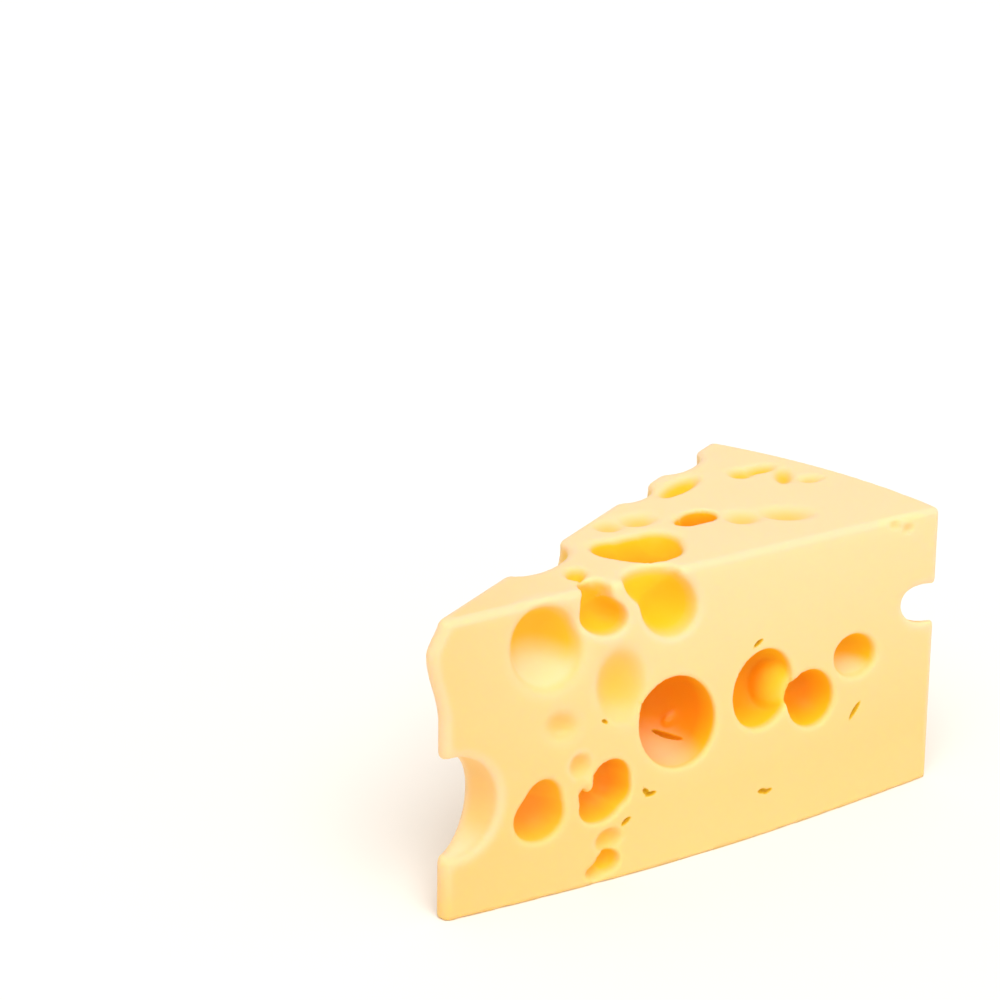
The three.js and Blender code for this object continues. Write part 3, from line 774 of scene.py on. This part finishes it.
def paste_material(sizes):
    """Semi-hard cheese paste, cut with a knife: a pale, waxy, slightly damp solid that light sinks into, so
    shadows are soft. Its colour also carries painted shade that turns the hollows orange, painted light on
    lower eye walls, painted highlights on rims and edges, and painted sheen and shade on the top."""
    material = bpy.data.materials.new("semi-hard cheese paste, knife cut")
    material.use_nodes = True
    tree = material.node_tree
    tree.nodes.clear()
    place = node(tree, "ShaderNodeTexCoord").outputs["Object"]
    hollow_shade, bloom, pale_and_sheen, lower_tip_and_top_shade, rim, slit = (
        node(tree, "ShaderNodeAttribute", attribute_name=name).outputs["Fac"]
        for name in ("hollow_shade", "bloom", "pale_and_sheen", "lower_tip_and_top_shade", "rim", "slit"))
    # Cloudy differences of moisture, about 30 mm across, and a fine grain of about 2 mm.
    cloud = node(tree, NOISE, place, None, 32.0, 2.0, 0.5)
    grain = node(tree, NOISE, place, None, 480.0, 3.0, 0.6)
    cloud_share = node(tree, RANGE, cloud.outputs[0], 0.35, 0.65, 0.0, 0.16)
    # Moister patches, deeper colour at the lower tip, and painted shade on the top face.
    moist_and_shade_share = node(tree, MATH, cloud_share, lower_tip_and_top_shade, operation="ADD")
    # Paler, drier patches about 55 mm across.
    patch = node(tree, NOISE, place, None, 18.0, 1.0, 0.5)
    patch_share = node(tree, RANGE, patch.outputs[0], 0.42, 0.68, 0.0, 0.3)
    # Paler patches and the paler upper faces, with painted sheen on the top face; none in the painted eye
    # shade.
    pale_and_sheen_share = node(tree, MATH, pale_and_sheen, patch_share, operation="ADD", use_clamp=True)
    uncut = node(tree, RANGE, hollow_shade, 0.0, 0.25, 1.0, 0.0)
    pale_and_sheen_share = node(tree, MATH, pale_and_sheen_share, uncut, operation="MULTIPLY")
    # Painted shade: deeper in an eye the paste is painted golden, then orange.
    shades = node(tree, "ShaderNodeValToRGB", hollow_shade)
    stops = ((0.0, sizes.colour), (0.2, sizes.shallow_shade_colour), (0.9, sizes.deep_shade_colour))
    while len(shades.color_ramp.elements) < len(stops):
        shades.color_ramp.elements.new(0.5)
    for stop, (share, colour) in zip(shades.color_ramp.elements, stops):
        stop.position = share
        stop.color = linear(colour)
    surface = shades
    # Painted light on the lower walls of eyes.
    painted_light_share = node(tree, MATH, bloom, PAINTED_LIGHT_STRENGTH, operation="MULTIPLY")
    # Painted highlights on rims and edges.
    rim_highlight_share = node(tree, MATH, rim, RIM_HIGHLIGHT_STRENGTH, operation="MULTIPLY")
    # Mixed over it in turn: moister patches with painted shade on the top face, painted light, a paler tone
    # with painted sheen on the top face, painted rim highlights, and painted shade in slits.
    for share, colour in ((moist_and_shade_share, sizes.moist_and_shade_colour), (painted_light_share, sizes.painted_light_colour),
                          (pale_and_sheen_share, sizes.pale_and_sheen_colour), (rim_highlight_share, sizes.rim_highlight_colour),
                          (slit, sizes.slit_shade_colour)):
        surface = node(tree, "ShaderNodeMixRGB", share, surface, linear(colour))
    # The cut is satin; the inside of an eye is smoother and a little wet.
    roughness = node(tree, RANGE, hollow_shade, 0.0, 1.0, 0.5, 0.36)
    # Knife drag: faint lines along the cut, about 1.5 mm apart.
    stretched = node(tree, "ShaderNodeMapping", place, None, None, (60.0, 60.0, 640.0))
    drag = node(tree, NOISE, stretched, None, 1.0, 2.0, 0.5)
    relief = node(tree, MATH, node(tree, MATH, drag.outputs[0], 0.5, operation="MULTIPLY"),
                  node(tree, MATH, grain.outputs[0], 0.6, operation="MULTIPLY"), operation="ADD")
    bump = node(tree, "ShaderNodeBump", BUMP_STRENGTH, BUMP_HEIGHT)
    tree.links.new(relief.outputs[0], bump.inputs["Height"])
    shader = node(tree, "ShaderNodeBsdfPrincipled", surface, None, roughness)
    tree.links.new(bump.outputs[0], shader.inputs["Normal"])
    for name, value in PASTE_SHADER.items():
        shader.inputs[name].default_value = value
    node(tree, "ShaderNodeOutputMaterial", shader)
    return material


def floor_material(colour):
    """Matt painted board: even and pale, with no sheen."""
    material = bpy.data.materials.new("matt painted board")
    material.use_nodes = True
    shader = material.node_tree.nodes["Principled BSDF"]
    shader.inputs["Base Color"].default_value = linear(colour)
    shader.inputs["Roughness"].default_value = 0.9
    shader.inputs["Specular IOR Level"].default_value = 0.1
    return material


class CHEESE_OT_wedge(bpy.types.Operator):
    """Make the wedge: one piece of paste with its eyes"""

    bl_idname = "cheese.wedge"
    bl_label = "Cheese wedge"

    def execute(self, context):
        sizes = context.scene.cheese_wedge_sizes
        rows = eye_rows(sizes)
        points = bpy.data.meshes.new("eye points")
        points.from_pydata([row[0] for row in rows], [], [])
        for column, (name, kind) in enumerate(EYE_COLUMNS.items(), start=1):
            stored = points.attributes.new(name, kind, "POINT")
            values = [row[column] for row in rows]
            if kind == "FLOAT_VECTOR":
                stored.data.foreach_set("vector", [part for value in values for part in value])
            else:
                stored.data.foreach_set("value", values)
        skin_maker = bpy.data.objects.new("skin maker", points)
        eye_points = bpy.data.objects.new("eye points", points)
        context.scene.collection.objects.link(skin_maker)
        context.scene.collection.objects.link(eye_points)
        margin = 3.0 * MM
        axis = Vector((WHEEL_AXIS[0] * MM, WHEEL_AXIS[1] * MM, 0))
        inputs = {
            "Low corner": [value - margin for value in Vector(CAD_BOX[0]) - axis],
            "High corner": [value + margin for value in Vector(CAD_BOX[1]) - axis],
            "Mesh step": sizes.mesh_step, "Wheel axis": axis, "Eye points": eye_points,
        }
        for label, _ in SIZE_INPUTS:
            inputs[label] = getattr(sizes, label.lower().replace(" ", "_"))
        paste_group = paste_distance_group(body_distance_group())
        skin = run_tree(context, skin_maker, skin_tree(paste_group), inputs)
        refine(skin, rows)
        finish_maker = bpy.data.objects.new("finish maker", skin)
        context.scene.collection.objects.link(finish_maker)
        mesh = run_tree(context, finish_maker, finish_tree(paste_group, paste_material(sizes)), inputs)
        bpy.data.objects.remove(eye_points)
        mesh.name = PIECE_NAME
        piece = bpy.data.objects.new(PIECE_NAME, mesh)
        context.scene.collection.objects.link(piece)
        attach(piece, "root")
        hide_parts("cheese_wedge")
        return {"FINISHED"}


def soft_sun(name, towards, angle, strength, colour):
    """A light far away and large enough to give soft shadows. towards is the way from the object to it."""
    light = bpy.data.lights.new(name, "SUN")
    light.angle = math.radians(angle)
    light.energy = strength
    light.color = linear(colour)[:3]
    lamp = bpy.data.objects.new(name, light)
    lamp.rotation_euler = Vector(towards).to_track_quat("Z", "Y").to_euler()
    bpy.context.scene.collection.objects.link(lamp)


class CHEESE_OT_stage(bpy.types.Operator):
    """Make the floor, the lights and the camera"""

    bl_idname = "cheese.stage"
    bl_label = "Stage"

    def execute(self, context):
        stage = context.scene.cheese_stage_settings
        mesh = bpy.data.meshes.new("floor")
        mesh.from_pydata([(x * FLOOR_HALF, y * FLOOR_HALF, 0)
                          for x, y in ((-1, -1), (1, -1), (1, 1), (-1, 1))], [], [(0, 1, 2, 3)])
        mesh.materials.append(floor_material(stage.floor_colour))
        floor = bpy.data.objects.new("floor", mesh)
        context.scene.collection.objects.link(floor)
        soft_sun("key light", KEY_SIDE, 50.0, stage.key_strength, "#fffdf8")
        soft_sun("fill light", FILL_SIDE, 60.0, stage.fill_strength, "#ffffff")
        world = bpy.data.worlds.new("room light")
        world.use_nodes = True
        world.node_tree.nodes["Background"].inputs["Color"].default_value = linear("#ffffff")
        world.node_tree.nodes["Background"].inputs["Strength"].default_value = stage.room_strength
        context.scene.world = world
        camera = bpy.data.objects.new("camera", bpy.data.cameras.new("camera"))
        camera.data.lens = stage.lens
        camera.data.sensor_width = 36.0
        camera.data.clip_end = 50.0
        azimuth, elevation, roll = (math.radians(angle) for angle in CAMERA_TURN)
        back = Vector((math.sin(azimuth) * math.cos(elevation), -math.cos(azimuth) * math.cos(elevation),
                       math.sin(elevation)))
        level = (-back).cross(Vector((0, 0, 1))).normalized()
        upright = level.cross(-back)
        right = math.cos(roll) * level + math.sin(roll) * upright
        above = -math.sin(roll) * level + math.cos(roll) * upright
        turned = Matrix((right, above, back)).transposed().to_4x4()
        camera.matrix_world = Matrix.Translation(CAMERA_PLACE) @ turned
        context.scene.collection.objects.link(camera)
        context.scene.camera = camera
        context.scene.view_settings.view_transform = "Standard"
        return {"FINISHED"}


class CHEESE_PT_panel(bpy.types.Panel):
    """Lists the wedge and its stage"""

    bl_label = "Cheese wedge"
    bl_idname = "CHEESE_PT_panel"
    bl_space_type = "VIEW_3D"
    bl_region_type = "UI"
    bl_category = "Cheese wedge"

    def draw(self, context):
        for group, operator in ((context.scene.cheese_wedge_sizes, CHEESE_OT_wedge),
                                (context.scene.cheese_stage_settings, CHEESE_OT_stage)):
            box = self.layout.box()
            for name in group.__annotations__:
                box.prop(group, name)
            box.operator(operator.bl_idname)


CLASSES = (WedgeSizes, StageSettings, CHEESE_OT_wedge, CHEESE_OT_stage, CHEESE_PT_panel)


def register():
    for each in CLASSES:
        bpy.utils.register_class(each)
    bpy.types.Scene.cheese_wedge_sizes = bpy.props.PointerProperty(type=WedgeSizes)
    bpy.types.Scene.cheese_stage_settings = bpy.props.PointerProperty(type=StageSettings)


def unregister():
    del bpy.types.Scene.cheese_stage_settings
    del bpy.types.Scene.cheese_wedge_sizes
    for each in reversed(CLASSES):
        bpy.utils.unregister_class(each)


def main():
    register()
    bpy.ops.cheese.wedge()
    bpy.ops.cheese.stage()


if __name__ == "__main__":
    main()
